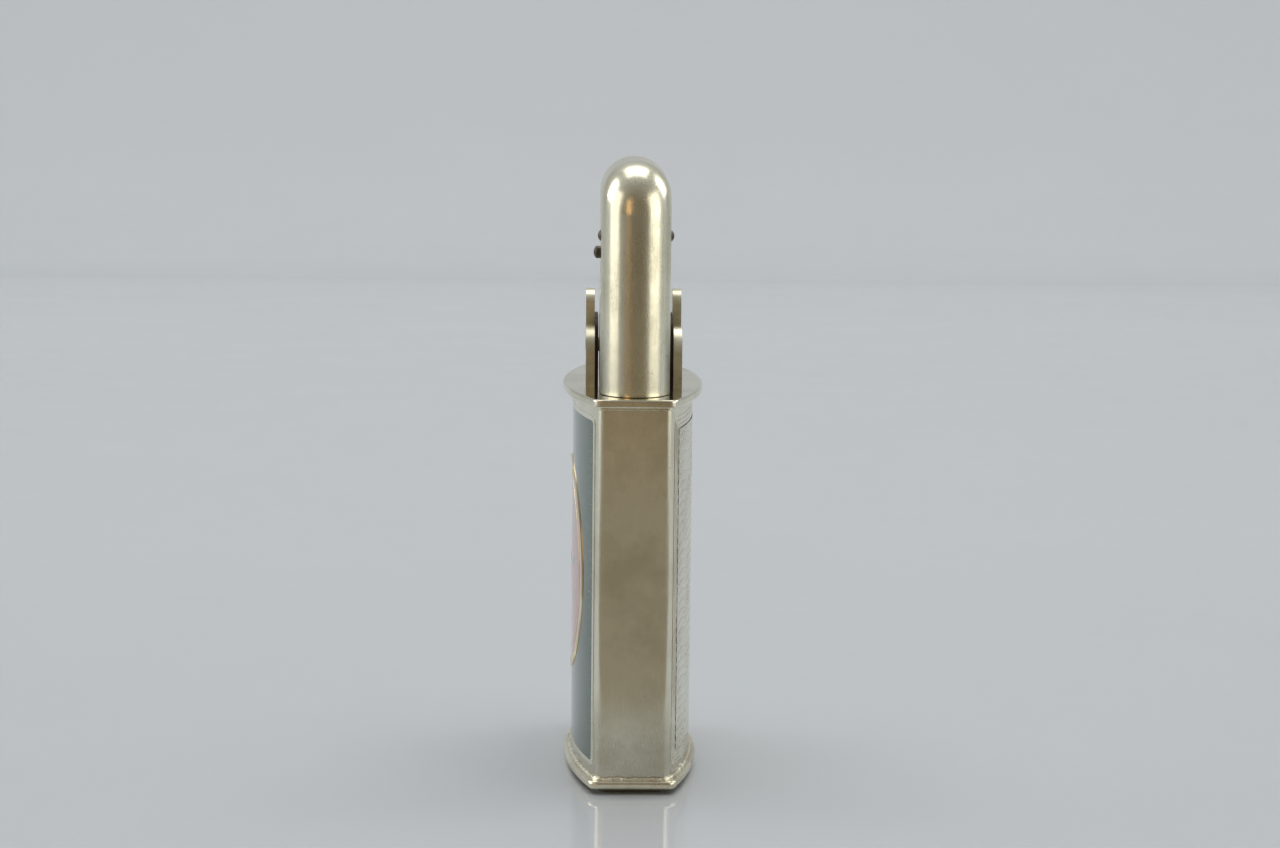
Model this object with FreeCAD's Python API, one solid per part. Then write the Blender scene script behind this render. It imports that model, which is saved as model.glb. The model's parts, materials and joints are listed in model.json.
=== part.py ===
import FreeCAD, Part
import math
import os

# Flat lipstick case with a lens-shaped body, a hinged hood and a sliding lipstick.
# X runs through the thickness, Y through the width, Z up. The floor is Z = 0. Millimetres.

V = FreeCAD.Vector

# Body: a lens in plan, flat at both narrow ends.
BODY_END = 4.03         # half thickness at the flat ends
BODY_MID = 6.93         # half thickness at the middle
BODY_DEPTH = 16.2       # half width
BODY_WALL = 0.8
BODY_CORNER = 1.1
BODY_BOTTOM = 1.6
BODY_TOP = 44.0

# Foot, base plate and deck plate.
FOOT_END, FOOT_MID, FOOT_DEPTH = 4.8, 7.75, 16.9
FOOT_BOTTOM = 0.5
FOOT_CORNER = 1.2
FOOT_TOP_ROUND, FOOT_LOWER_ROUND = 0.4, 0.65
FOOT_WEB = 1.0          # width of the foot ring inside the body line
BEAD_RADIUS = 0.32
BASE_INSET = 1.3
DECK_END, DECK_MID, DECK_DEPTH = 4.47, 8.12, 16.6
DECK_BOTTOM, DECK_TOP = 44.25, 45.2
DECK_ROUND = 0.25
RIM_END, RIM_MID, RIM_DEPTH = 4.1, 7.6, 16.27
RIM_WEB = 1.5           # width of the rim ring inside the body line

# Side panels let into the body.
PANEL_SINK = 0.35
PANEL_HALF = 15.0
PANEL_LOW, PANEL_HIGH = 2.9, 43.0
PANEL_ROUND = 1.0
FRAME_WIDTH = 0.5
FRAME_PROUD = 0.05
OVAL_CENTRE_Z = 23.8
OVAL_HALF_WIDTH = 10.6
OVAL_HALF_HEIGHT = 12.6
OVAL_LINE = 0.45
OVAL_PROUD = 0.12
REED_COUNT = 3
REED_WIDTH = 0.26
REED_PITCH = 0.5

# Hinge.
PIVOT_Y, PIVOT_Z = -5.0, 50.0
PIN_RADIUS = 0.8
PIN_HEAD_RADIUS = 1.0
PIN_HEAD_HEIGHT = 0.08
PIN_CLEARANCE = 0.06
LUG_INNER, LUG_OUTER = 4.5, 5.5
LUG_HALF_WIDTH = 6.7
LUG_SHOULDER_Z = 52.0
LUG_SHOULDER_ROUND = 4.0
LUG_TOP_Z = 55.9
LUG_TONGUE_RADIUS = 2.1
CHEEK_INNER = 4.1       # inner face of the plate that lines each lug
CHEEK_FRONT, CHEEK_REAR = -6.6, 4.0
CHEEK_TOP = 53.0
CHEEK_ROUND = 2.6

# Hood, standing upright.
HOOD_HALF = 3.95        # half thickness and nose radius
HOOD_WALL = 0.5
HOOD_NOSE_Y = -15.0
HOOD_REAR_Y = -0.3
HOOD_BOTTOM_Z = 45.27
HOOD_TOP_Z = 71.3
HOOD_CORNER = 5.7       # radius of the top front corner seen from the side
HEEL_RADIUS = 4.7      # lower rear corner, centred on the pivot
KNUCKLE_RADIUS = 1.4
MIRROR_HALF = 2.9
MIRROR_LOW, MIRROR_HIGH = 52.5, 64.5
MIRROR_BACK_Y = -12.75
MIRROR_THICKNESS = 0.6
MIRROR_RIM = 0.35
RIVET_Y, RIVET_Z = -10.6, 63.0
RIVET_RADIUS = 0.65
RIVET_PROUD = 0.35
NIB_Y, NIB_Z = -9.2, 61.0
NIB_RADIUS = 0.7
NIB_PROUD = 0.8

# Lipstick and its slide.
STICK_Y = 7.5
BULLET_RADIUS = 2.7
BULLET_LOW, BULLET_TIP = 21.2, 43.6
TIP_SLANT = 3.4
CUP_RADIUS = 3.5
CUP_LOW, CUP_HIGH = 20.0, 31.0
CUP_WALL = 0.8
CARRIAGE_LOW = 15.5
TUBE_INNER, TUBE_OUTER = 3.56, 4.0
TUBE_LOW, TUBE_HIGH = 2.6, DECK_BOTTOM
COLLAR_BORE, COLLAR_LIP, COLLAR_SHANK = 2.92, 3.2, 3.4
COLLAR_HEIGHT = 0.35
ARM_HALF = 0.8
ARM_LOW, ARM_HIGH = 17.4, 19.4
ARM_END_Y = 16.75
TRAVEL = 12.5
SLOT_HALF = 1.05
SLOT_SLACK = 0.15
BEZEL_MARGIN = 0.7
BEZEL_PROUD = 0.25
THUMB_HALF, THUMB_LOW, THUMB_HIGH = 2.6, 14.9, 21.9
THUMB_THICKNESS = 0.9
RING_LOW, RING_HIGH = 16.2, 16.9


def lens_prism(end_half, mid_half, half_depth, low, high, corner=0.0):
    """Upright prism with a lens-shaped plan and flat ends."""
    front_left = V(-end_half, -half_depth, low)
    front_right = V(end_half, -half_depth, low)
    back_right = V(end_half, half_depth, low)
    back_left = V(-end_half, half_depth, low)
    edges = [
        Part.makeLine(front_left, front_right),
        Part.Arc(front_right, V(mid_half, 0, low), back_right).toShape(),
        Part.makeLine(back_right, back_left),
        Part.Arc(back_left, V(-mid_half, 0, low), front_left).toShape(),
    ]
    prism = Part.Face(Part.Wire(edges)).extrude(V(0, 0, high - low))
    if corner > 0:
        prism = prism.makeFillet(corner, upright_edges(prism, high - low))
    return prism


def upright_edges(solid, height):
    """Straight edges that run the full height of a prism."""
    found = []
    for edge in solid.Edges:
        direction = edge.lastVertex().Point - edge.firstVertex().Point
        if abs(abs(direction.z) - height) < 1e-6 and edge.Length - height < 1e-6:
            found.append(edge)
    return found


def level_edges(solid, level):
    """Edges that lie flat at one height."""
    found = []
    for edge in solid.Edges:
        box = edge.BoundBox
        if abs(box.ZMin - level) < 1e-5 and abs(box.ZMax - level) < 1e-5:
            found.append(edge)
    return found


def body_lens(offset, low, high):
    """Body outline grown outwards by an offset."""
    corner = max(BODY_CORNER + offset, 0.1)
    return lens_prism(BODY_END + offset, BODY_MID + offset, BODY_DEPTH + offset, low, high, corner)


def cylinder_x(radius, x_from, x_to, y, z):
    return Part.makeCylinder(radius, x_to - x_from, V(x_from, y, z), V(1, 0, 0))


def cylinder_z(radius, low, high, y=STICK_Y):
    return Part.makeCylinder(radius, high - low, V(0, y, low), V(0, 0, 1))


def block(x_from, x_to, y_from, y_to, z_from, z_to):
    return Part.makeBox(x_to - x_from, y_to - y_from, z_to - z_from, V(x_from, y_from, z_from))


def dome(radius, height, centre, axis):
    """Low domed rivet head standing on a plane."""
    sphere_radius = (radius * radius + height * height) / (2.0 * height)
    ball = Part.makeSphere(sphere_radius, centre + axis * (height - sphere_radius))
    return ball.common(Part.makeCylinder(radius, height + 0.5, centre, axis))


# Side panels -------------------------------------------------------------------------

def panel_blank(inset, side):
    """Rounded block that cuts a panel outline out of one side of the body."""
    half = PANEL_HALF - inset
    low = PANEL_LOW + inset
    high = PANEL_HIGH - inset
    rounding = max(PANEL_ROUND - inset, 0.3)
    blank = block(0, 12, -half, half, low, high)
    along_x = [e for e in blank.Edges if abs(e.BoundBox.XLength - 12) < 1e-4]
    blank = blank.makeFillet(rounding, along_x)
    if side < 0:
        blank.translate(V(-12, 0, 0))
    return blank


def body_skin(inner, outer):
    """Skin of the body between two offsets, between the foot and the deck."""
    return body_lens(outer, PANEL_LOW - 1, PANEL_HIGH + 1).cut(body_lens(inner, PANEL_LOW - 2, PANEL_HIGH + 2))


def oval_block(inset):
    """Elliptical block on the left side of the body."""
    oval = Part.Ellipse(V(0, 0, 0), OVAL_HALF_HEIGHT - inset, OVAL_HALF_WIDTH - inset)
    face = Part.Face(Part.Wire(oval.toShape()))
    solid = face.extrude(V(0, 0, 12))
    # The long axis of the ellipse turns upright and the block points to the left side.
    solid.rotate(V(0, 0, 0), V(0, 1, 0), -90)
    solid.translate(V(0, 0, OVAL_CENTRE_Z))
    return solid


def body_shell():
    shell = body_lens(0, BODY_BOTTOM, BODY_TOP).cut(body_lens(-BODY_WALL, BODY_BOTTOM - 1, BODY_TOP + 1))
    recess = body_skin(-PANEL_SINK, 0.5)
    shell = shell.cut(recess.common(panel_blank(0, -1)))
    shell = shell.cut(recess.common(panel_blank(0, 1)))
    return shell.cut(rear_slot(SLOT_HALF, SLOT_SLACK, BODY_DEPTH - 2, BODY_DEPTH + 2))


def enamel_panel():
    sheet = body_skin(-PANEL_SINK, 0).common(panel_blank(FRAME_WIDTH, -1))
    return sheet.cut(oval_block(0))


def frame_strip(side):
    strip = body_skin(-PANEL_SINK, FRAME_PROUD)
    return strip.common(panel_blank(0, side)).cut(panel_blank(FRAME_WIDTH, side))


def medallion_enamel():
    return body_skin(-PANEL_SINK, 0.03).common(oval_block(OVAL_LINE))


def medallion_wire():
    ring = oval_block(0).cut(oval_block(OVAL_LINE))
    return body_skin(-PANEL_SINK, OVAL_PROUD).common(ring)


def reeded_border():
    """Narrow raised strips around the engine-turned sheet."""
    strips = []
    skin = body_skin(-PANEL_SINK, FRAME_PROUD)
    for index in range(REED_COUNT):
        inset = index * REED_PITCH
        ring = panel_blank(inset, 1).cut(panel_blank(inset + REED_WIDTH, 1))
        strips.append(skin.common(ring))
    return Part.makeCompound(strips)


def engine_turned_panel():
    """Sheet flush with the body, with narrow channels for the raised strips."""
    sheet = body_skin(-PANEL_SINK, 0).common(panel_blank(0, 1))
    for index in range(REED_COUNT):
        inset = index * REED_PITCH
        sheet = sheet.cut(panel_blank(inset, 1).cut(panel_blank(inset + REED_WIDTH, 1)))
    solids = sorted(sheet.Solids, key=lambda s: s.Volume)
    return Part.makeCompound(solids)


# Foot and deck -----------------------------------------------------------------------

def foot_moulding():
    foot = lens_prism(FOOT_END, FOOT_MID, FOOT_DEPTH, FOOT_BOTTOM, BODY_BOTTOM, FOOT_CORNER)
    foot = foot.makeFillet(FOOT_TOP_ROUND, level_edges(foot, BODY_BOTTOM))
    foot = foot.makeFillet(FOOT_LOWER_ROUND, level_edges(foot, FOOT_BOTTOM))
    return foot.cut(body_lens(-FOOT_WEB, FOOT_BOTTOM - 1, BODY_BOTTOM + 1))


def foot_bead():
    """Soldered bead in the corner between the body and the foot."""
    outer = body_lens(BEAD_RADIUS, BODY_BOTTOM, BODY_BOTTOM + BEAD_RADIUS)
    outer = outer.makeChamfer(BEAD_RADIUS * 0.6, level_edges(outer, BODY_BOTTOM + BEAD_RADIUS))
    return outer.cut(body_lens(0, BODY_BOTTOM - 1, BODY_BOTTOM + 2))


def base_plate():
    return lens_prism(FOOT_END - BASE_INSET, FOOT_MID - BASE_INSET, FOOT_DEPTH - BASE_INSET,
                      0, FOOT_BOTTOM, BODY_CORNER)


def rim_moulding():
    """Narrow ring under the deck plate, stepped in from its edge."""
    rim = lens_prism(RIM_END, RIM_MID, RIM_DEPTH, BODY_TOP, DECK_BOTTOM, BODY_CORNER)
    rim = rim.makeFillet(0.1, level_edges(rim, BODY_TOP))
    return rim.cut(body_lens(-RIM_WEB, BODY_TOP - 1, DECK_BOTTOM + 1))


def deck_plate():
    deck = lens_prism(DECK_END, DECK_MID, DECK_DEPTH, DECK_BOTTOM, DECK_TOP, BODY_CORNER + 0.1)
    deck = deck.makeFillet(DECK_ROUND, level_edges(deck, DECK_TOP) + level_edges(deck, DECK_BOTTOM))
    return deck.cut(cylinder_z(COLLAR_SHANK, DECK_BOTTOM - 1, DECK_TOP + 1))


# Hinge -------------------------------------------------------------------------------

def hinge_lug(side):
    """Upright plate with round shoulders and a round-topped tongue in the middle."""
    half, shoulder = LUG_HALF_WIDTH, LUG_SHOULDER_Z
    thickness = LUG_OUTER - LUG_INNER
    plate = block(LUG_INNER, LUG_OUTER, -half, half, DECK_TOP, shoulder)
    shoulders = [e for e in level_edges(plate, shoulder) if abs(e.BoundBox.XLength - thickness) < 1e-5]
    plate = plate.makeFillet(LUG_SHOULDER_ROUND, shoulders)
    centre_z = LUG_TOP_Z - LUG_TONGUE_RADIUS
    tongue = block(LUG_INNER, LUG_OUTER, -LUG_TONGUE_RADIUS, LUG_TONGUE_RADIUS, shoulder - 1, centre_z)
    crown = cylinder_x(LUG_TONGUE_RADIUS, LUG_INNER, LUG_OUTER, 0, centre_z)
    plate = plate.fuse([tongue, crown]).removeSplitter()
    plate = plate.cut(cylinder_x(PIN_RADIUS, 0, 12, PIVOT_Y, PIVOT_Z))
    if side < 0:
        plate = plate.mirror(V(0, 0, 0), V(1, 0, 0))
    return plate


def hinge_cheeks():
    """Liner plates that fill the gaps between the lugs and the hood."""
    cheeks = []
    thickness = LUG_INNER - CHEEK_INNER
    for side in (-1, 1):
        low = CHEEK_INNER if side > 0 else -LUG_INNER
        cheek = block(low, low + thickness, CHEEK_FRONT, CHEEK_REAR, DECK_TOP, CHEEK_TOP)
        top = [e for e in level_edges(cheek, CHEEK_TOP) if abs(e.BoundBox.XLength - thickness) < 1e-5]
        cheek = cheek.makeFillet(CHEEK_ROUND, top)
        cheeks.append(cheek.cut(cylinder_x(PIN_RADIUS, -12, 12, PIVOT_Y, PIVOT_Z)))
    return Part.makeCompound(cheeks)


def hinge_pin():
    pin = cylinder_x(PIN_RADIUS, -LUG_OUTER, LUG_OUTER, PIVOT_Y, PIVOT_Z)
    for side in (-1, 1):
        head = dome(PIN_HEAD_RADIUS, PIN_HEAD_HEIGHT, V(side * LUG_OUTER, PIVOT_Y, PIVOT_Z), V(side, 0, 0))
        pin = pin.fuse(head)
    return pin.removeSplitter()


# Hood --------------------------------------------------------------------------------

def nose_prism(radius, nose_y, rear_y, low, high):
    """Upright prism, half round at the front and open-ended towards the rear."""
    centre_y = nose_y + radius
    edges = [
        Part.Arc(V(-radius, centre_y, low), V(0, nose_y, low), V(radius, centre_y, low)).toShape(),
        Part.makeLine(V(radius, centre_y, low), V(radius, rear_y, low)),
        Part.makeLine(V(radius, rear_y, low), V(-radius, rear_y, low)),
        Part.makeLine(V(-radius, rear_y, low), V(-radius, centre_y, low)),
    ]
    return Part.Face(Part.Wire(edges)).extrude(V(0, 0, high - low))


def hood_solid(inset, rear_y, low):
    """Round-nosed hood whose half-round section runs up the front and back over the top."""
    radius = HOOD_HALF - inset
    nose_y = HOOD_NOSE_Y + inset
    top_z = HOOD_TOP_Z - inset
    corner = HOOD_CORNER - inset
    turn_y = nose_y + corner
    turn_z = top_z - corner
    front = nose_prism(radius, nose_y, turn_y, low, turn_z)
    rear = block(-radius, radius, turn_y, rear_y, low, turn_z)
    centre_z = top_z - radius
    edges = [
        Part.Arc(V(-radius, turn_y, centre_z), V(0, turn_y, top_z), V(radius, turn_y, centre_z)).toShape(),
        Part.makeLine(V(radius, turn_y, centre_z), V(radius, turn_y, turn_z)),
        Part.makeLine(V(radius, turn_y, turn_z), V(-radius, turn_y, turn_z)),
        Part.makeLine(V(-radius, turn_y, turn_z), V(-radius, turn_y, centre_z)),
    ]
    section = Part.Face(Part.Wire(edges))
    top = section.extrude(V(0, rear_y - turn_y, 0))
    shoulder = section.revolve(V(0, turn_y, turn_z), V(1, 0, 0), 90)
    return front.fuse([rear, top, shoulder]).removeSplitter()


def hood_shell():
    outer = hood_solid(0, HOOD_REAR_Y, HOOD_BOTTOM_Z)
    inner = hood_solid(HOOD_WALL, HOOD_REAR_Y + 1, HOOD_BOTTOM_Z + HOOD_WALL)
    shell = outer.cut(inner)
    heel = block(-6, 6, PIVOT_Y, HOOD_REAR_Y + 1, HOOD_BOTTOM_Z - 1, PIVOT_Z)
    heel = heel.cut(cylinder_x(HEEL_RADIUS, -6, 6, PIVOT_Y, PIVOT_Z))
    shell = shell.cut(heel)
    shell = shell.cut(cylinder_x(KNUCKLE_RADIUS, -6, 6, PIVOT_Y, PIVOT_Z))
    shell = shell.cut(cylinder_x(RIVET_RADIUS * 0.6, -6, 6, RIVET_Y, RIVET_Z))
    return shell.cut(cylinder_x(NIB_RADIUS * 0.6, -6, 0, NIB_Y, NIB_Z))


def pivot_tube():
    tube = cylinder_x(KNUCKLE_RADIUS, -HOOD_HALF, HOOD_HALF, PIVOT_Y, PIVOT_Z)
    return tube.cut(cylinder_x(PIN_RADIUS + PIN_CLEARANCE, -6, 6, PIVOT_Y, PIVOT_Z))


def mirror_glass():
    front = MIRROR_BACK_Y + MIRROR_THICKNESS
    return block(-MIRROR_HALF, MIRROR_HALF, MIRROR_BACK_Y, front, MIRROR_LOW, MIRROR_HIGH)


def mirror_frame():
    """Tray behind the glass with a raised rim and an ear on each side for the rivets."""
    rim = MIRROR_RIM
    back = MIRROR_BACK_Y - 0.25
    front = MIRROR_BACK_Y + MIRROR_THICKNESS + 0.15
    tray = block(-MIRROR_HALF - rim, MIRROR_HALF + rim, back, front, MIRROR_LOW - rim, MIRROR_HIGH + rim)
    cavity = hood_solid(HOOD_WALL, HOOD_REAR_Y, HOOD_BOTTOM_Z)
    tray = tray.common(cavity)
    tray = tray.cut(block(-MIRROR_HALF, MIRROR_HALF, MIRROR_BACK_Y, front + 1, MIRROR_LOW, MIRROR_HIGH))
    ear_inner = MIRROR_HALF + rim - 0.05
    ear_outer = HOOD_HALF - HOOD_WALL
    for side in (-1, 1):
        low = ear_inner if side > 0 else -ear_outer
        ear = block(low, low + ear_outer - ear_inner, back + 0.3, RIVET_Y + 0.9, RIVET_Z - 0.9, RIVET_Z + 0.9)
        ear = ear.common(cavity).cut(cylinder_x(RIVET_RADIUS * 0.6, -6, 6, RIVET_Y, RIVET_Z))
        tray = tray.fuse(ear)
    return tray.removeSplitter()


def mirror_rivets():
    """A rivet through each side of the hood, with its head outside."""
    rivets = []
    inside = HOOD_HALF - HOOD_WALL - 0.5
    for side in (-1, 1):
        low = inside if side > 0 else -HOOD_HALF
        shank = cylinder_x(RIVET_RADIUS * 0.6, low, low + HOOD_HALF - inside, RIVET_Y, RIVET_Z)
        head = dome(RIVET_RADIUS, RIVET_PROUD, V(side * HOOD_HALF, RIVET_Y, RIVET_Z), V(side, 0, 0))
        rivets.append(shank.fuse(head).removeSplitter())
    return Part.makeCompound(rivets)


def thumb_nib():
    """Small round stud on the left side of the hood, for lifting it."""
    shank = cylinder_x(NIB_RADIUS * 0.6, -HOOD_HALF, -HOOD_HALF + HOOD_WALL, NIB_Y, NIB_Z)
    stem = cylinder_x(NIB_RADIUS, -HOOD_HALF - NIB_PROUD + 0.3, -HOOD_HALF, NIB_Y, NIB_Z)
    cap = dome(NIB_RADIUS, 0.3, V(-HOOD_HALF - NIB_PROUD + 0.3, NIB_Y, NIB_Z), V(-1, 0, 0))
    return shank.fuse([stem, cap]).removeSplitter()


# Lipstick ----------------------------------------------------------------------------

def rear_slot(half, slack, y_from, y_to):
    """Upright slot with round ends for the arm of the slide."""
    low = ARM_LOW - slack
    high = ARM_HIGH + TRAVEL + slack
    slot = block(-half, half, y_from, y_to, low, high)
    corners = [e for e in slot.Edges if abs(e.BoundBox.YLength - (y_to - y_from)) < 1e-5]
    return slot.makeFillet(min(half * 0.35, slack * 2), corners)


def lipstick_bullet():
    """Stick with a slanted, rounded tip."""
    stick = cylinder_z(BULLET_RADIUS, BULLET_LOW, BULLET_TIP)
    stick = stick.makeFillet(0.5, level_edges(stick, BULLET_TIP))
    slope = math.degrees(math.atan2(TIP_SLANT, BULLET_RADIUS))
    cutter = block(-8, 8, -12, 12, 0, 12)
    cutter.rotate(V(0, 0, 0), V(1, 0, 0), slope)
    cutter.translate(V(0, STICK_Y + BULLET_RADIUS - 1.0, BULLET_TIP))
    slanted = stick.cut(cutter)
    rim = [e for e in slanted.Edges if e.BoundBox.ZMax > BULLET_TIP - 5 and e.BoundBox.ZLength > 2]
    return slanted.makeFillet(0.25, rim)


def lipstick_cup():
    cup = cylinder_z(CUP_RADIUS, CUP_LOW, CUP_HIGH)
    cup = cup.makeFillet(0.25, level_edges(cup, CUP_HIGH))
    return cup.cut(cylinder_z(CUP_RADIUS - CUP_WALL, BULLET_LOW, CUP_HIGH + 1))


def carriage():
    piston = cylinder_z(CUP_RADIUS, CARRIAGE_LOW, CUP_LOW)
    groove = cylinder_z(CUP_RADIUS + 1, RING_LOW, RING_HIGH).cut(cylinder_z(CUP_RADIUS - 0.6, RING_LOW, RING_HIGH))
    piston = piston.cut(groove)
    return piston.cut(block(-ARM_HALF, ARM_HALF, STICK_Y, STICK_Y + 6, ARM_LOW, ARM_HIGH))


def carriage_arm():
    arm = block(-ARM_HALF, ARM_HALF, STICK_Y, ARM_END_Y, ARM_LOW, ARM_HIGH)
    middle = (ARM_LOW + ARM_HIGH) / 2
    return arm.cut(Part.makeCylinder(0.45, 3, V(0, ARM_END_Y - 1.5, middle), V(0, 1, 0)))


def brake_ring():
    """Split spring ring in the groove of the piston."""
    ring = cylinder_z(TUBE_INNER - 0.03, RING_LOW + 0.05, RING_HIGH - 0.05)
    ring = ring.cut(cylinder_z(CUP_RADIUS - 0.5, RING_LOW - 1, RING_HIGH + 1))
    return ring.cut(block(-0.9, 0.9, STICK_Y, STICK_Y + 6, RING_LOW - 1, RING_HIGH + 1))


def thumb_slide():
    """Ribbed thumb piece on the rear end of the case."""
    pad = block(-THUMB_HALF, THUMB_HALF, ARM_END_Y, ARM_END_Y + THUMB_THICKNESS, THUMB_LOW, THUMB_HIGH)
    upright = [e for e in pad.Edges if abs(e.BoundBox.YLength - THUMB_THICKNESS) < 1e-5]
    pad = pad.makeFillet(1.2, upright)
    outer = []
    for edge in pad.Edges:
        box = edge.BoundBox
        if abs(box.YMin - box.YMax) < 1e-5 and abs(box.YMax - ARM_END_Y - THUMB_THICKNESS) < 1e-4:
            outer.append(edge)
    pad = pad.makeFillet(0.3, outer)
    middle = (ARM_LOW + ARM_HIGH) / 2
    for offset in (-2.8, -2.2, -1.6, 1.6, 2.2, 2.8):
        groove = Part.makeCylinder(0.17, 8, V(-4, ARM_END_Y + THUMB_THICKNESS, middle + offset), V(1, 0, 0))
        pad = pad.cut(groove)
    return pad.cut(Part.makeCylinder(0.45, 3, V(0, ARM_END_Y - 1, middle), V(0, 1, 0)))


def thumb_rivet():
    middle = (ARM_LOW + ARM_HIGH) / 2
    start = ARM_END_Y - 1.5
    face = ARM_END_Y + THUMB_THICKNESS
    shank = Part.makeCylinder(0.45, face - start, V(0, start, middle), V(0, 1, 0))
    head = dome(0.9, 0.3, V(0, face, middle), V(0, 1, 0))
    return shank.fuse(head).removeSplitter()


def guide_tube():
    tube = cylinder_z(TUBE_OUTER, TUBE_LOW, TUBE_HIGH).cut(cylinder_z(TUBE_INNER, TUBE_LOW - 1, TUBE_HIGH + 1))
    return tube.cut(rear_slot(SLOT_HALF, SLOT_SLACK + 0.2, STICK_Y, STICK_Y + 6))


def guide_foot_ring():
    """Flange that seats the tube on the base plate."""
    flange = cylinder_z(TUBE_OUTER + 0.9, FOOT_BOTTOM, FOOT_BOTTOM + 0.6)
    socket = cylinder_z(TUBE_OUTER, FOOT_BOTTOM, TUBE_LOW)
    return flange.fuse(socket).cut(cylinder_z(TUBE_INNER - 0.6, 0, 6)).removeSplitter()


def mouth_collar():
    """Flanged eyelet in the deck that the stick passes through."""
    shank = cylinder_z(COLLAR_SHANK, DECK_BOTTOM, DECK_TOP)
    lip = cylinder_z(COLLAR_LIP, DECK_TOP, DECK_TOP + COLLAR_HEIGHT)
    lip = lip.makeFillet(0.12, level_edges(lip, DECK_TOP + COLLAR_HEIGHT))
    return shank.fuse(lip).cut(cylinder_z(COLLAR_BORE, BODY_TOP - 1, DECK_TOP + 2)).removeSplitter()


def slot_bezel():
    """Thin raised frame around the slot at the rear end."""
    plate = rear_slot(SLOT_HALF + BEZEL_MARGIN, SLOT_SLACK + BEZEL_MARGIN, BODY_DEPTH, BODY_DEPTH + BEZEL_PROUD)
    return plate.cut(rear_slot(SLOT_HALF, SLOT_SLACK, BODY_DEPTH - 1, BODY_DEPTH + 1))


NODES = {
    "body_shell": body_shell,
    "foot_moulding": foot_moulding,
    "foot_bead": foot_bead,
    "base_plate": base_plate,
    "rim_moulding": rim_moulding,
    "deck_plate": deck_plate,
    "enamel_panel": enamel_panel,
    "enamel_frame": lambda: frame_strip(-1),
    "medallion_enamel": medallion_enamel,
    "medallion_wire": medallion_wire,
    "engine_turned_panel": engine_turned_panel,
    "reeded_border": reeded_border,
    "hinge_lug_left": lambda: hinge_lug(-1),
    "hinge_lug_right": lambda: hinge_lug(1),
    "hinge_cheeks": hinge_cheeks,
    "hinge_pin": hinge_pin,
    "guide_tube": guide_tube,
    "guide_foot_ring": guide_foot_ring,
    "mouth_collar": mouth_collar,
    "slot_bezel": slot_bezel,
    "hood_shell": hood_shell,
    "pivot_tube": pivot_tube,
    "mirror_glass": mirror_glass,
    "mirror_frame": mirror_frame,
    "mirror_rivets": mirror_rivets,
    "thumb_nib": thumb_nib,
    "lipstick_bullet": lipstick_bullet,
    "lipstick_cup": lipstick_cup,
    "carriage": carriage,
    "carriage_arm": carriage_arm,
    "brake_ring": brake_ring,
    "thumb_slide": thumb_slide,
    "thumb_rivet": thumb_rivet,
}

os.makedirs("parts", exist_ok=True)
for name, make in NODES.items():
    make().exportStep("parts/" + name + ".step")
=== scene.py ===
import json
import math

import bmesh
import bpy
from mathutils import Matrix, Vector

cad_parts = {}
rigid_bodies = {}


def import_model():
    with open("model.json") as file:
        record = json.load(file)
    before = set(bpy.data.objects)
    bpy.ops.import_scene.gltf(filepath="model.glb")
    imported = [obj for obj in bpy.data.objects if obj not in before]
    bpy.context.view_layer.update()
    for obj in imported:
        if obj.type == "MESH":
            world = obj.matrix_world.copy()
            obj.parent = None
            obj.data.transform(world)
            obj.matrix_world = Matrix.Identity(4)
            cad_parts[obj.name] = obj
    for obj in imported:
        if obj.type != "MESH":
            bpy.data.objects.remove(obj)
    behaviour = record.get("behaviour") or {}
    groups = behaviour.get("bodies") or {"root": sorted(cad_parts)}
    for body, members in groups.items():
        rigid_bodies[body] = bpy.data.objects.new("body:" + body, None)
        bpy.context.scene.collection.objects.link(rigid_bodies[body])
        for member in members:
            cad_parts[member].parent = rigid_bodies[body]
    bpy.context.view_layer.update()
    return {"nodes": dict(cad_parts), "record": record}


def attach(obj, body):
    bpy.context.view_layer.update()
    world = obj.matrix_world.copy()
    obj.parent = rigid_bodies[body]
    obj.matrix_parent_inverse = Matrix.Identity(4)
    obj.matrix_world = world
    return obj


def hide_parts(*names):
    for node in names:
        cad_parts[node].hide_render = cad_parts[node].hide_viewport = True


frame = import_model()
NODES = frame["nodes"]
MM = 0.001

# Plan of the body, in millimetres: half thickness at the ends and the middle, and half width.
BODY_END, BODY_MID, BODY_DEPTH = 4.03, 6.93, 16.2
BODY_CORNER = 1.1

# Medallion on the left side, inside its outline: height of its centre, half width and half height.
OVAL_Z, OVAL_WIDTH, OVAL_HEIGHT = 23.8, 10.15, 12.15


# Materials ---------------------------------------------------------------------------

# Sockets of a mix node that mixes colours.
MIX_FACTOR, MIX_A, MIX_B, MIX_RESULT = 0, 6, 7, 2


def opaque(colour):
    """A colour socket as it is, or a plain colour with its alpha added."""
    if isinstance(colour, bpy.types.NodeSocket):
        return colour
    return (*colour, 1.0)


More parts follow.
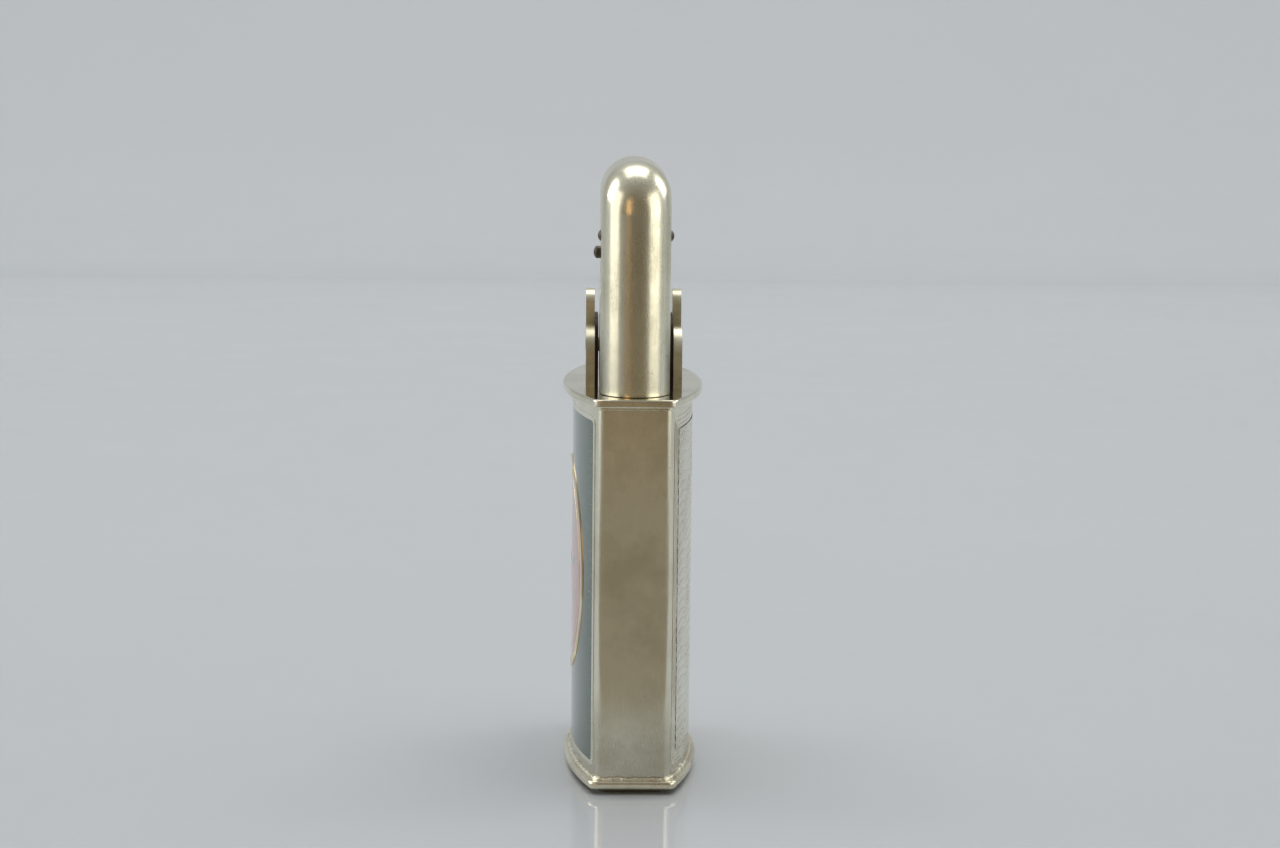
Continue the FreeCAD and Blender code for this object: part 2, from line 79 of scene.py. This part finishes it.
class Surface:
    """A procedural material whose textures are laid out in millimetres."""

    def __init__(self, name, **constants):
        self.name = name
        self.material = bpy.data.materials.new(name)
        self.material.use_nodes = True
        self.tree = self.material.node_tree
        self.shader = self.tree.nodes["Principled BSDF"]
        for socket, value in constants.items():
            self.shader.inputs[socket.replace("_", " ")].default_value = value
        coordinate = self.tree.nodes.new("ShaderNodeTexCoord")
        self.place = self.mapped(coordinate.outputs["Object"], (1000, 1000, 1000))

    def node(self, kind, inputs=None, **settings):
        made = self.tree.nodes.new(kind)
        for key, value in settings.items():
            setattr(made, key, value)
        for key, value in (inputs or {}).items():
            if isinstance(value, bpy.types.NodeSocket):
                self.tree.links.new(value, made.inputs[key])
            else:
                made.inputs[key].default_value = value
        return made

    def mapped(self, vector, scale, turn=(0, 0, 0)):
        made = self.node("ShaderNodeMapping", {"Vector": vector, "Scale": scale, "Rotation": turn})
        return made.outputs["Vector"]

    def noise(self, scale, detail=3.0, stretch=(1, 1, 1), roughness=0.55, turn=(0, 0, 0)):
        place = self.mapped(self.place, stretch, turn)
        made = self.node("ShaderNodeTexNoise", {"Vector": place, "Scale": scale, "Detail": detail,
                                                "Roughness": roughness})
        return made.outputs["Fac"]

    def waves(self, pitch, turn=(0, 0, 0), distortion=0.0):
        """Parallel waves along X after the turn, one every pitch millimetres."""
        place = self.mapped(self.place, (1, 1, 1), turn)
        made = self.node("ShaderNodeTexWave", {"Vector": place, "Scale": math.pi / (10 * pitch),
                                               "Distortion": distortion})
        return made.outputs["Fac"]

    def remap(self, value, from_low, from_high, to_low, to_high):
        made = self.node("ShaderNodeMapRange", {"Value": value,
                                                "From Min": from_low, "From Max": from_high,
                                                "To Min": to_low, "To Max": to_high})
        return made.outputs["Result"]

    def maths(self, operation, a, b):
        return self.node("ShaderNodeMath", {0: a, 1: b}, operation=operation).outputs["Value"]

    def blend(self, factor, a, b):
        inputs = {MIX_FACTOR: factor, MIX_A: opaque(a), MIX_B: opaque(b)}
        return self.node("ShaderNodeMix", inputs, data_type="RGBA").outputs[MIX_RESULT]

    def spots(self, scale, inner, outer, share):
        """Round spots, one in some of the cells: share is how many cells have one."""
        spread = 0.02
        cells = self.node("ShaderNodeTexVoronoi", {"Vector": self.place, "Scale": scale})
        near = self.remap(cells.outputs["Distance"], inner, outer, 1.0, 0.0)
        draw = self.node("ShaderNodeSeparateColor", {"Color": cells.outputs["Color"]}).outputs[0]
        chosen = self.remap(draw, 1.0 - share, 1.0 - share + spread, 0.0, 1.0)
        return self.maths("MULTIPLY", near, chosen)

    def colour(self, socket):
        self.tree.links.new(socket, self.shader.inputs["Base Color"])

    def roughness(self, socket):
        self.tree.links.new(socket, self.shader.inputs["Roughness"])

    def bump(self, height, depth_mm, strength=1.0):
        """Adds a bump on top of the ones already there."""
        made = self.node("ShaderNodeBump", {"Height": height, "Distance": depth_mm * MM,
                                            "Strength": strength})
        before = self.shader.inputs["Normal"].links
        if before:
            self.tree.links.new(before[0].from_socket, made.inputs["Normal"])
        self.tree.links.new(made.outputs["Normal"], self.shader.inputs["Normal"])


# Near-black mixed in where there is dirt and where shade is painted.
DIRT_AND_SHADE_COLOUR = (0.035, 0.03, 0.02)
PIT = (0.03, 0.025, 0.015)


def dirt_and_shade_mask(s, patches, half_thickness, start, full, strength):
    """How much dirt and painted shade lie outside a half thickness, growing from the height start to the
    height full.

    A negative half thickness takes in the whole piece. Part of it is dirt and part is painted shade: on
    the hood beside the lugs, and on the case above the foot.
    """
    fade = 0.35
    split = s.node("ShaderNodeSeparateXYZ", {"Vector": s.place})
    distance = s.maths("ABSOLUTE", split.outputs["X"], 0.0)
    beside = s.remap(distance, half_thickness - fade, half_thickness + fade, 0.0, 1.0)
    below = s.remap(split.outputs["Z"], start, full, 0.0, 1.0)
    dirt_and_shade_amount = s.maths("MULTIPLY", s.maths("MULTIPLY", beside, below), s.remap(patches, 0.2, 0.5, 0.75, 1.0))
    return s.maths("MULTIPLY", dirt_and_shade_amount, strength)


def metal(name, clean, dark, rough=(0.14, 0.30), brush=(1, 1, 0.06), tarnish=0.35, pits=0.0,
          scratch=0.004, dirt_and_shade=None):
    """Worn polished metal: brushed grain, fine scratches, patches of tarnish and a few pits.

    brush stretches the grain, pits is the share of cells with a pit, and scratch is a depth in
    millimetres. The last argument holds the last four values for the mask of dirt and painted shade.
    """
    s = Surface(name, Metallic=1.0)
    patches = s.noise(0.16, 4.0, roughness=0.6)
    grain = s.noise(9.0, 2.0, stretch=brush)
    film = s.remap(patches, 0.42, 0.68, 0.0, tarnish)
    speck = s.remap(s.noise(2.6, 3.0), 0.58, 0.76, 0.0, tarnish * 0.6)
    colour = s.blend(s.maths("ADD", film, speck), clean, dark)
    base = s.remap(patches, 0.3, 0.7, rough[0], rough[1])
    base = s.maths("ADD", base, s.remap(grain, 0.35, 0.65, 0.0, 0.06))
    # Dirt and painted shade darken the colour here and make the surface rougher.
    if dirt_and_shade:
        dirt_and_shade_amount = dirt_and_shade_mask(s, patches, *dirt_and_shade)
        colour = s.blend(dirt_and_shade_amount, colour, DIRT_AND_SHADE_COLOUR)
        base = s.maths("ADD", base, s.maths("MULTIPLY", dirt_and_shade_amount, 0.35))
    if pits:
        hole = s.spots(0.55, 0.035, 0.075, pits)
        colour = s.blend(hole, colour, PIT)
        s.bump(s.maths("SUBTRACT", 1.0, hole), 0.05)
    s.colour(colour)
    s.roughness(base)
    s.bump(grain, scratch)
    hair = s.noise(1.1, 6.0, stretch=(1.0, 1.0, 0.12), turn=(0.5, 0.3, 0))
    s.bump(s.remap(hair, 0.49, 0.51, 0.0, 1.0), scratch * 0.6)
    return s


def enamel(name, light, deep, engraved=0.0):
    """Glossy vitreous enamel with faint clouding and pinholes.

    engraved is how strongly wavy cuts in the metal below show through it.
    """
    gloss = 0.06
    s = Surface(name, Coat_Weight=0.3, Coat_Roughness=0.03, IOR=1.5)
    cloud = s.remap(s.noise(0.11, 4.0), 0.35, 0.65, 0.0, 1.0)
    fine = s.remap(s.noise(3.5, 2.0), 0.3, 0.7, 0.0, 0.12)
    depth = s.maths("ADD", s.maths("MULTIPLY", cloud, 0.55), fine)
    if engraved:
        cuts = s.waves(0.95, turn=(0, math.pi / 2, 0), distortion=1.4)
        depth = s.maths("ADD", depth, s.maths("MULTIPLY", cuts, engraved))
    colour = s.blend(depth, light, deep)
    hole = s.spots(0.9, 0.02, 0.045, 0.10)
    s.colour(s.blend(hole, colour, tuple(c * 0.35 for c in deep)))
    s.roughness(s.remap(s.noise(0.5, 3.0), 0.3, 0.7, gloss, gloss + 0.08))
    s.bump(s.noise(0.22, 2.0), 0.05, 0.5)
    s.bump(s.maths("SUBTRACT", 1.0, hole), 0.02)
    return s


def lip_colour():
    s = Surface("lip_colour", Specular_IOR_Level=0.45, Subsurface_Weight=0.05)
    s.shader.inputs["Subsurface Radius"].default_value = (1.2 * MM, 0.4 * MM, 0.3 * MM)
    cloud = s.remap(s.noise(0.5, 4.0), 0.3, 0.7, 0.0, 1.0)
    s.colour(s.blend(cloud, (0.50, 0.035, 0.05), (0.36, 0.02, 0.035)))
    s.roughness(s.remap(s.noise(1.8, 3.0), 0.3, 0.7, 0.32, 0.52))
    s.bump(s.noise(1.2, 4.0, stretch=(1, 1, 0.2)), 0.03)
    return s


def mirror():
    """Silvered glass, a little foxed."""
    s = Surface("mirror_face", Metallic=1.0, Coat_Weight=1.0, Coat_Roughness=0.01)
    foxing = s.remap(s.noise(0.6, 5.0), 0.55, 0.72, 0.0, 0.35)
    s.colour(s.blend(foxing, (0.86, 0.88, 0.88), (0.42, 0.40, 0.36)))
    s.roughness(s.remap(s.noise(1.4, 4.0), 0.4, 0.75, 0.015, 0.09))
    return s


# Each metal's clean colour, with its tarnished colour beside it where pieces share one.
SILVER, SHADE = (0.87, 0.835, 0.68), (0.44, 0.39, 0.27)
PALE = (0.92, 0.89, 0.76)
WORN_SHADE = (0.38, 0.345, 0.21)
GILT, GILT_SHADE = (0.93, 0.74, 0.40), (0.50, 0.34, 0.15)

FINISHES = [
    # The case darkens from 12 mm down towards the foot: partly dirt, partly painted shade.
    metal("case_silver", SILVER, SHADE, rough=(0.13, 0.19), tarnish=0.32, pits=0.05, scratch=0.0015,
          dirt_and_shade=(-1.0, 12.0, 5.0, 0.24)),
    metal("foot_silver", (0.88, 0.83, 0.66), (0.42, 0.37, 0.24), rough=(0.14, 0.28), tarnish=0.6,
          pits=0.04),
    metal("solder_bead", PALE, SHADE, rough=(0.16, 0.36), tarnish=0.7, scratch=0.02),
    # The base plate is made nearly black, as painted shade, so that it reads as the shadow under the
    # foot.
    metal("base_silver", (0.16, 0.145, 0.115), (0.07, 0.06, 0.045), rough=(0.4, 0.55)),
    metal("deck_silver", SILVER, SHADE, rough=(0.06, 0.14), brush=(1, 0.08, 1)),
    enamel("green_enamel", (0.118, 0.182, 0.132), (0.072, 0.120, 0.086), engraved=0.4),
    metal("frame_silver", PALE, SHADE, rough=(0.12, 0.24)),
    enamel("pink_enamel", (0.80, 0.50, 0.46), (0.64, 0.26, 0.27)),
    enamel("rose_enamel", (0.56, 0.11, 0.15), (0.72, 0.26, 0.28)),
    enamel("petal_enamel", (0.88, 0.62, 0.58), (0.74, 0.36, 0.36)),
    enamel("leaf_enamel", (0.26, 0.36, 0.20), (0.15, 0.25, 0.13)),
    metal("gilt_wire", (0.95, 0.83, 0.55), (0.55, 0.40, 0.20), rough=(0.12, 0.26)),
    metal("engine_turned_silver", (0.82, 0.79, 0.67), (0.50, 0.45, 0.33), rough=(0.16, 0.26),
          brush=(1, 0.05, 1), scratch=0.0008),
    metal("reed_silver", PALE, SHADE, rough=(0.12, 0.24)),
    metal("lug_silver", (0.83, 0.79, 0.62), WORN_SHADE, rough=(0.24, 0.36), tarnish=0.7, pits=0.05),
    metal("pin_steel", (0.55, 0.52, 0.46), (0.2, 0.17, 0.12), rough=(0.25, 0.4), tarnish=0.8),
    metal("tube_brass", (0.78, 0.58, 0.30), (0.35, 0.24, 0.10), rough=(0.22, 0.36)),
    metal("collar_gilt", GILT, GILT_SHADE, rough=(0.1, 0.2)),
    # The hood's sides darken below 54 mm, beside the lugs: partly dirt, partly painted shade of the
    # narrow gaps there.
    metal("hood_silver", (0.84, 0.80, 0.63), WORN_SHADE, rough=(0.16, 0.27), tarnish=0.42, pits=0.10,
          scratch=0.0018, dirt_and_shade=(3.5, 54.0, 48.5, 0.72)),
    metal("knuckle_silver", (0.7, 0.66, 0.56), SHADE, rough=(0.2, 0.35)),
    # The cheeks are made nearly black, as painted shade of the narrow gap between the lugs and the hood.
    metal("cheek_dark", (0.055, 0.047, 0.036), (0.02, 0.017, 0.013), rough=(0.4, 0.55), tarnish=0.8),
    mirror(),
    metal("mirror_frame_silver", SILVER, SHADE, rough=(0.14, 0.26)),
    metal("rivet_dark", (0.16, 0.14, 0.11), (0.06, 0.05, 0.035), rough=(0.25, 0.4), tarnish=0.7),
    lip_colour(),
    metal("cup_gilt", GILT, GILT_SHADE, rough=(0.1, 0.2)),
    metal("carriage_brass", (0.76, 0.57, 0.30), (0.34, 0.24, 0.1), rough=(0.25, 0.4)),
    metal("ring_steel", (0.5, 0.5, 0.5), (0.2, 0.2, 0.2), rough=(0.2, 0.35)),
    metal("thumb_silver", SILVER, SHADE, rough=(0.14, 0.28), tarnish=0.6),
]
MATERIALS = {surface.name: surface.material for surface in FINISHES}

for part in frame["record"]["subparts"]:
    mesh = NODES[part["node"]].data
    mesh.materials.clear()
    mesh.materials.append(MATERIALS[part["material_slot"]])


# Pieces that the solids leave plain --------------------------------------------------

# Each side of the body is part of a cylinder. Its radius follows from the end and middle thickness.
SAGITTA = BODY_MID - BODY_END
SIDE_RADIUS = (BODY_DEPTH ** 2 + SAGITTA ** 2) / (2 * SAGITTA)
SIDE_CENTRE = SIDE_RADIUS - BODY_MID


def side_x(y, lift=0.0):
    """Distance of a side face from the middle plane."""
    return math.sqrt((SIDE_RADIUS + lift) ** 2 - y * y) - SIDE_CENTRE


def outline(lift, steps):
    """Points around the body's plan with rounded corners, moved outwards by lift.

    Half of each side face gets the given number of steps.
    """
    corner_steps, end_steps = 8, 8
    inner = SIDE_RADIUS - BODY_CORNER
    end_y = BODY_DEPTH - BODY_CORNER
    end_x = math.sqrt(inner ** 2 - end_y ** 2) - SIDE_CENTRE
    sweep = math.asin(end_y / inner)
    quarter = []
    for i in range(steps):
        angle = sweep * i / (steps - 1)
        radius = SIDE_RADIUS + lift
        quarter.append((radius * math.cos(angle) - SIDE_CENTRE, radius * math.sin(angle)))
    for i in range(1, corner_steps + 1):
        angle = sweep + (math.pi / 2 - sweep) * i / corner_steps
        radius = BODY_CORNER + lift
        quarter.append((end_x + radius * math.cos(angle), end_y + radius * math.sin(angle)))
    for i in range(1, end_steps):
        quarter.append((end_x * (1 - i / end_steps), BODY_DEPTH + lift))
    half = quarter + [(-x, y) for x, y in reversed(quarter)]
    return half + [(x, -y) for x, y in reversed(half[1:-1])]


def piece(name, vertices, faces, body, slot, finish=None, crease=None):
    """Makes one shown piece from millimetre vertices.

    finish names a material other than the slot's own. Edges that turn more than crease degrees stay
    sharp.
    """
    mesh = bpy.data.meshes.new(name)
    mesh.from_pydata([(x * MM, y * MM, z * MM) for x, y, z in vertices], [], faces)
    work = bmesh.new()
    work.from_mesh(mesh)
    bmesh.ops.remove_doubles(work, verts=work.verts, dist=1e-7)
    bmesh.ops.recalc_face_normals(work, faces=work.faces)
    work.to_mesh(mesh)
    work.free()
    for polygon in mesh.polygons:
        polygon.use_smooth = True
    if crease:
        mesh.set_sharp_from_angle(angle=math.radians(crease))
    made = bpy.data.objects.new(name, mesh)
    bpy.context.scene.collection.objects.link(made)
    mesh.materials.append(MATERIALS[finish or slot])
    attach(made, body)
    return made


def tube(path, radii):
    """Vertices and faces of a closed round tube along a ring of points."""
    sides = 10
    vertices, faces = [], []
    count = len(path)
    for i, point in enumerate(path):
        along = (Vector(path[(i + 1) % count]) - Vector(path[i - 1])).normalized()
        side = along.cross(Vector((0.13, 0.21, 1.0))).normalized()
        up = side.cross(along)
        for j in range(sides):
            angle = 2 * math.pi * j / sides
            reach = side * math.cos(angle) + up * math.sin(angle)
            vertices.append(tuple(Vector(point) + reach * radii[i]))
    for i in range(count):
        here, after = i * sides, ((i + 1) % count) * sides
        for j in range(sides):
            k = (j + 1) % sides
            faces.append((here + j, here + k, after + k, after + j))
    return vertices, faces


def wobble(value, seed):
    """Smooth repeatable variation between -1 and 1."""
    slow = math.sin(value * 1.7 + seed)
    middle = math.sin(value * 3.1 + seed * 2.3)
    quick = math.sin(value * 5.9 + seed * 0.7)
    return (slow + middle + quick) / 3


def solder_line():
    """Uneven bright line of solder where the body meets the foot."""
    stand_off, step, height, radius = 0.10, 0.25, 1.68, 0.26
    corners = outline(stand_off, 60)
    points = []
    for i, (x, y) in enumerate(corners):
        next_x, next_y = corners[(i + 1) % len(corners)]
        parts = max(1, round(math.hypot(next_x - x, next_y - y) / step))
        for j in range(parts):
            points.append((x + (next_x - x) * j / parts, y + (next_y - y) * j / parts))
    path, radii = [], []
    for i, (x, y) in enumerate(points):
        travelled = step * (i + 1)
        radii.append(radius + 0.07 * wobble(travelled * 1.3, 1.0) + 0.05 * wobble(travelled * 4.1, 2.0))
        path.append((x, y, height + 0.07 * wobble(travelled * 0.9, 4.0)))
    made = piece("solder_line", *tube(path, radii), "case", "solder_bead")
    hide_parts("foot_bead")


def engine_turning():
    """Ribs cut across the right side in slow waves, as a rose engine leaves them."""
    low, high, half = 4.36, 41.54, 13.54
    pitch, wave_height, wave_length = 1.14, 0.22, 6.2
    clearance = 0.012
    # One rib: its height at shares of the pitch, which drops to nothing where the next one starts.
    profile = [(0.0, 0.0), (0.10, 0.045), (0.30, 0.072), (0.5, 0.08), (0.70, 0.072), (0.90, 0.045)]
    rows = []
    base = low - 2 * pitch
    while base < high + pitch:
        rows += [(base + share * pitch, rise) for share, rise in profile]
        base += pitch
    spans = 80
    columns = [-half + 2 * half * i / spans for i in range(spans + 1)]
    vertices, faces = [], []
    for z, rise in rows:
        for y in columns:
            place = z + wave_height * math.sin(2 * math.pi * y / wave_length)
            vertices.append((side_x(y, clearance + rise), y, min(max(place, low), high)))
    width = len(columns)
    for i in range(len(rows) - 1):
        for j in range(spans):
            a = i * width + j
            corners = (a, a + 1, a + width + 1, a + width)
            # Past the ends of the panel the rows fall together, and those faces are left out.
            if len({round(vertices[c][2], 4) for c in corners}) > 1:
                faces.append(corners)
    piece("engine_turning", vertices, faces, "case", "engine_turned_silver", crease=30)


def on_left(y, z, lift):
    """Point on the left side, lifted off it."""
    return (-side_x(y, lift), y, z)


def oval_path(scale, lift, count):
    """Ring of points that follows the medallion's edge at a share of its size."""
    path = []
    for i in range(count):
        angle = 2 * math.pi * i / count
        y = OVAL_WIDTH * scale * math.cos(angle)
        path.append(on_left(y, OVAL_Z + OVAL_HEIGHT * scale * math.sin(angle), lift))
    return path


def petal(start, angle, length, width, lift, height):
    """Low domed leaf shape lying on the medallion, from its start outwards at the angle."""
    rings, around = 5, 20
    vertices, faces = [], []
    for ring in range(rings + 1):
        share = ring / rings
        for step in range(around):
            turn = 2 * math.pi * step / around
            travelled = (1 + share * math.cos(turn)) / 2
            along = length * travelled
            taper = math.sin(math.pi * min(max(travelled, 0.02), 0.98)) ** 0.6
            across = width / 2 * share * math.sin(turn) * taper
            y = start[0] + along * math.cos(angle) - across * math.sin(angle)
            z = start[1] + along * math.sin(angle) + across * math.cos(angle)
            vertices.append(on_left(y, z, lift + height * (1 - share ** 2) ** 0.5))
    for ring in range(rings):
        for step in range(around):
            a, b = ring * around + step, ring * around + (step + 1) % around
            faces.append((a, b, b + around, a + around))
    return vertices, faces


def joined(groups):
    """One list of vertices and one of faces from several pairs of them."""
    vertices, faces = [], []
    for group_vertices, group_faces in groups:
        base = len(vertices)
        vertices += group_vertices
        faces += [tuple(i + base for i in face) for face in group_faces]
    return vertices, faces


def petal_ring(count, reach, length, width, lift, height, turn=0.0, stretch=1.0):
    """Petals or leaves pointing outwards from the middle of the medallion.

    turn is in shares of the gap between two petals, and stretch lengthens the ring upwards.
    """
    ring = []
    for i in range(count):
        angle = 2 * math.pi * (i + turn) / count
        start = (reach * math.cos(angle), OVAL_Z + reach * stretch * math.sin(angle))
        size = 1 + 0.12 * wobble(i * 2.1, turn + reach)
        lean = angle + 0.12 * wobble(i * 1.3, reach)
        ring.append(petal(start, lean, length * size, width * size, lift, height))
    return ring


def medallion_art():
    """A generic open rose with leaves behind it, inside a fine gilt line."""
    petal_height, leaf_height = 0.045, 0.03
    leaves = petal_ring(7, 3.0, 3.7, 1.7, 0.008, leaf_height, turn=0.3, stretch=1.12)
    outer = petal_ring(8, 1.2, 3.2, 2.5, 0.02, petal_height)
    outer += petal_ring(7, 0.7, 2.6, 2.1, 0.035, petal_height, turn=0.5)
    inner = petal_ring(6, 0.35, 1.9, 1.5, 0.05, petal_height, turn=0.2)
    inner += petal_ring(5, 0.0, 1.1, 0.9, 0.06, petal_height, turn=0.6)
    piece("medallion_leaves", *joined(leaves), "case", "pink_enamel", "leaf_enamel")
    piece("medallion_petals", *joined(outer), "case", "pink_enamel", "petal_enamel")
    piece("medallion_rosette", *joined(inner), "case", "pink_enamel", "rose_enamel")
    line_scale, line_lift, line_radius, line_points = 0.88, 0.03, 0.045, 120
    line = tube(oval_path(line_scale, line_lift, line_points), [line_radius] * line_points)
    piece("medallion_ring", *line, "case", "gilt_wire")


solder_line()
engine_turning()
medallion_art()


# Stage -------------------------------------------------------------------------------

OBJECT_MIDDLE = (0, 0, 0.05)

# Everything shown so far is the object, which most of the lights are linked to.
OBJECT_ONLY = bpy.data.collections.new("object_only")
for shown in bpy.context.scene.objects:
    if shown.type == "MESH":
        OBJECT_ONLY.objects.link(shown)


def floor():
    """Seamless sheet: flat floor that curves up into a backdrop."""
    half_width, front, bend, radius, top = 1.6, -1.6, 0.55, 0.35, 1.8
    steps = 24
    profile = [(front, 0.0), (bend, 0.0)]
    for step in range(1, steps + 1):
        angle = math.radians(90 * step / steps)
        profile.append((bend + radius * math.sin(angle), radius * (1 - math.cos(angle))))
    profile.append((bend + radius, top))
    mesh = bpy.data.meshes.new("floor")
    vertices = [(x, y, z) for y, z in profile for x in (-half_width, half_width)]
    faces = [(2 * i, 2 * i + 1, 2 * i + 3, 2 * i + 2) for i in range(len(profile) - 1)]
    mesh.from_pydata(vertices, [], faces)
    for polygon in mesh.polygons:
        polygon.use_smooth = True
    sheet = bpy.data.objects.new("floor", mesh)
    bpy.context.scene.collection.objects.link(sheet)
    s = Surface("floor", Coat_Weight=1.0, Coat_Roughness=0.03, IOR=1.45)
    cloud = s.remap(s.noise(0.012, 3.0), 0.3, 0.7, 0.0, 1.0)
    s.colour(s.blend(cloud, (0.592, 0.620, 0.645), (0.584, 0.612, 0.637)))
    s.roughness(s.remap(s.noise(0.03, 3.0), 0.3, 0.7, 0.42, 0.6))
    mesh.materials.append(s.material)


def softbox(name, place, width, height, power, colour=(1, 1, 1), target=OBJECT_MIDDLE, diffuse=False):
    """Studio light, never seen by the camera.

    Most of them light the object only, with their reflections in it. The diffuse ones light everything
    and show in no reflection.
    """
    light = bpy.data.lights.new(name, "AREA")
    light.shape = "RECTANGLE"
    light.size = width
    light.size_y = height
    light.energy = power
    light.color = colour
    lamp = bpy.data.objects.new(name, light)
    bpy.context.scene.collection.objects.link(lamp)
    if not diffuse:
        lamp.light_linking.receiver_collection = OBJECT_ONLY
    lamp.location = place
    lamp.visible_camera = False
    lamp.visible_diffuse = diffuse
    lamp.visible_glossy = not diffuse
    lamp.rotation_mode = "QUATERNION"
    lamp.rotation_quaternion = (Vector(target) - Vector(place)).to_track_quat("-Z", "Y")


def flag(name, span, height, width, colour):
    """Faintly glowing card just above the floor, in front of the object, between the two Y of span.

    Only reflections show it, so the metal has the dark of a room to reflect. It lights nothing else.
    """
    mesh = bpy.data.meshes.new(name)
    corners = [(x, y, height) for y in span for x in (-width / 2, width / 2)]
    mesh.from_pydata(corners, [], [(0, 1, 3, 2)])
    card = bpy.data.objects.new(name, mesh)
    bpy.context.scene.collection.objects.link(card)
    material = bpy.data.materials.new(name)
    material.use_nodes = True
    shader = material.node_tree.nodes["Principled BSDF"]
    shader.inputs["Base Color"].default_value = (0, 0, 0, 1)
    shader.inputs["Roughness"].default_value = 1.0
    shader.inputs["Emission Color"].default_value = (*colour, 1)
    shader.inputs["Emission Strength"].default_value = 1.0
    mesh.materials.append(material)
    card.visible_camera = False
    card.visible_diffuse = False
    card.visible_shadow = False


def world():
    """Surroundings for the reflections, from warm and dim in front to cool and light behind."""
    made = bpy.data.worlds.new("studio")
    bpy.context.scene.world = made
    made.use_nodes = True
    tree = made.node_tree
    coordinate = tree.nodes.new("ShaderNodeTexCoord")
    split = tree.nodes.new("ShaderNodeSeparateXYZ")
    tree.links.new(coordinate.outputs["Generated"], split.inputs["Vector"])
    shift = tree.nodes.new("ShaderNodeMapRange")
    shift.inputs["From Min"].default_value = -1.0
    shift.inputs["From Max"].default_value = 1.0
    tree.links.new(split.outputs["Y"], shift.inputs["Value"])
    ramp = tree.nodes.new("ShaderNodeValToRGB")
    front, behind = ramp.color_ramp.elements
    front.position = 0.10
    front.color = (0.20, 0.175, 0.135, 1)
    behind.position = 0.60
    behind.color = (0.52, 0.55, 0.58, 1)
    tree.links.new(shift.outputs["Result"], ramp.inputs["Fac"])
    background = tree.nodes["Background"]
    tree.links.new(ramp.outputs["Color"], background.inputs["Color"])
    background.inputs["Strength"].default_value = 1.0


def camera():
    """Looks down at one narrow end from just left of the middle."""
    place = Vector((-7.4, -335.2, 91.6)) * MM
    pitch, yaw, roll = math.radians(8.75), math.radians(-1.42), math.radians(0.58)
    ahead = Vector((-math.sin(yaw) * math.cos(pitch), math.cos(yaw) * math.cos(pitch), -math.sin(pitch)))
    up = Vector((-math.sin(yaw) * math.sin(pitch), math.cos(yaw) * math.sin(pitch), math.cos(pitch)))
    right = Vector((math.cos(yaw), math.sin(yaw), 0))
    rolled_right = right * math.cos(roll) + up * math.sin(roll)
    rolled_up = up * math.cos(roll) - right * math.sin(roll)
    data = bpy.data.cameras.new("camera")
    data.sensor_width = 36.0
    data.lens = 81.5625
    data.clip_start = 0.01
    data.clip_end = 20.0
    seen = bpy.data.objects.new("camera", data)
    bpy.context.scene.collection.objects.link(seen)
    turn = Matrix((rolled_right, rolled_up, -ahead)).transposed().to_4x4()
    seen.matrix_world = Matrix.Translation(place) @ turn
    bpy.context.scene.camera = seen


floor()
CREAM, AMBER = (1.0, 0.97, 0.88), (1.0, 0.58, 0.27)
softbox("left_wall", (-0.309, -0.083, 0.14), 0.225, 0.30, 0.23, CREAM)
softbox("left_box", (-0.353, 0.105, 0.265), 0.18, 0.24, 0.34)
softbox("right_wall", (0.30, -0.15, 0.14), 0.25, 0.30, 0.34, CREAM)
softbox("right_box", (0.321, 0.168, 0.272), 0.18, 0.22, 0.31)
softbox("top_box", (0.0, 0.19, 0.60), 0.46, 0.34, 0.95)
softbox("warm_lamp", (-0.36, -0.75, 0.27), 0.20, 0.46, 0.30, AMBER)
softbox("fill", (0.0, 0.35, 1.8), 2.6, 2.6, 20.0, target=(0, 0.35, 0), diffuse=True)
softbox("backdrop_light", (0.0, 0.30, 1.30), 1.8, 0.4, 7.0, target=(0, 0.95, 0.15), diffuse=True)
flag("near_flag", (-0.25, -0.045), 0.0015, 0.30, (0.245, 0.222, 0.175))
flag("mid_flag", (-0.35, -0.25), 0.0015, 0.36, (0.33, 0.24, 0.14))
flag("far_flag", (-0.80, -0.35), 0.0012, 0.60, (0.06, 0.054, 0.036))
world()
camera()
bpy.context.scene.view_settings.view_transform = "Standard"
bpy.context.scene.view_settings.look = "None"
